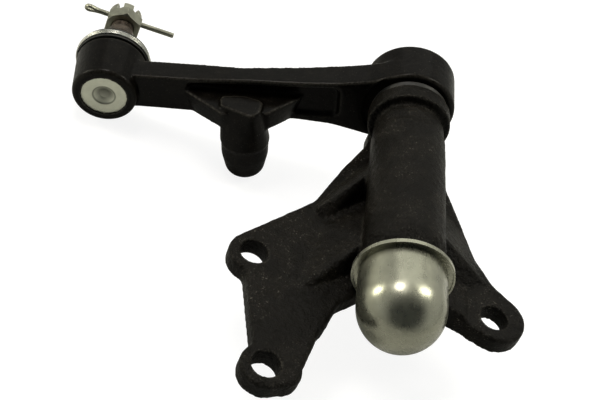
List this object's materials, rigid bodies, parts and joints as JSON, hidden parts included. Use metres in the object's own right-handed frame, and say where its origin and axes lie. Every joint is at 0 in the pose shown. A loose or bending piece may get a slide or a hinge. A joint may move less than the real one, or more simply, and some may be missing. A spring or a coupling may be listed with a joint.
{
  "type": "steering idler arm",
  "caption": "Steering idler arm: cast bracket with a capped turning shaft, forged arm with a stop boss, and a ball joint with boot, castle nut and split pin.",
  "frame": {"origin": "on the mounting face, under the shaft axis, on the line of the two upper bolt holes", "axes": "+Z out of the mounting face towards the shaft, +Y along the shaft from the dust cap to the arm, the arm on the -X side"},
  "size_m": [0.2573, 0.2609, 0.0901],
  "materials": {
    "cast_paint": "satin black paint on a sand casting",
    "forged_paint": "satin black paint on a forging",
    "bush": "plain bearing bronze",
    "seal_rubber": "black rubber",
    "cap_zinc": "zinc plated drawn steel",
    "ground_steel": "ground steel",
    "nut_zinc": "zinc plated steel",
    "pin_zinc": "zinc plated wire",
    "plug_zinc": "matt zinc plated steel",
    "seat_plastic": "white plastic",
    "boot_rubber": "black rubber",
    "ring_wire": "bright spring wire",
    "stud_steel": "phosphated dark steel"
  },
  "bodies": {
    "bracket": {"bracket": "cast_paint", "cap_side_bush": "bush", "arm_side_bush": "bush", "dust_seal": "seal_rubber", "dust_cap": "cap_zinc"},
    "arm": {"idler_arm": "forged_paint", "idler_shaft": "ground_steel", "thrust_washer": "ground_steel", "shaft_nut": "nut_zinc", "shaft_cotter_pin": "pin_zinc", "end_plug": "plug_zinc", "preload_spring": "ground_steel", "front_ball_seat": "seat_plastic", "rear_ball_seat": "seat_plastic", "dust_boot": "boot_rubber", "boot_large_ring": "ring_wire"},
    "boot_neck": {"boot_small_ring": "ring_wire"},
    "stud": {"ball_stud": "stud_steel", "stud_nut": "nut_zinc", "stud_cotter_pin": "pin_zinc"}
  },
  "joints": [
    {"name": "arm_swing", "type": "hinge", "parent": "bracket", "child": "arm", "pos_m": [0, 0, 0.026], "axis": [0, 1, 0], "range_deg": [-40, 40]},
    {"name": "stud_tilt", "type": "hinge", "parent": "arm", "child": "boot_neck", "pos_m": [-0.16167, 0.1285, -0.01744], "axis": [-0.9657, 0, -0.2595], "range_deg": [-18, 18], "deforming": ["dust_boot"]},
    {"name": "stud_spin", "type": "hinge", "parent": "boot_neck", "child": "stud", "pos_m": [-0.16167, 0.1285, -0.01744], "axis": [0, 1, 0], "continuous": true}
  ]
}
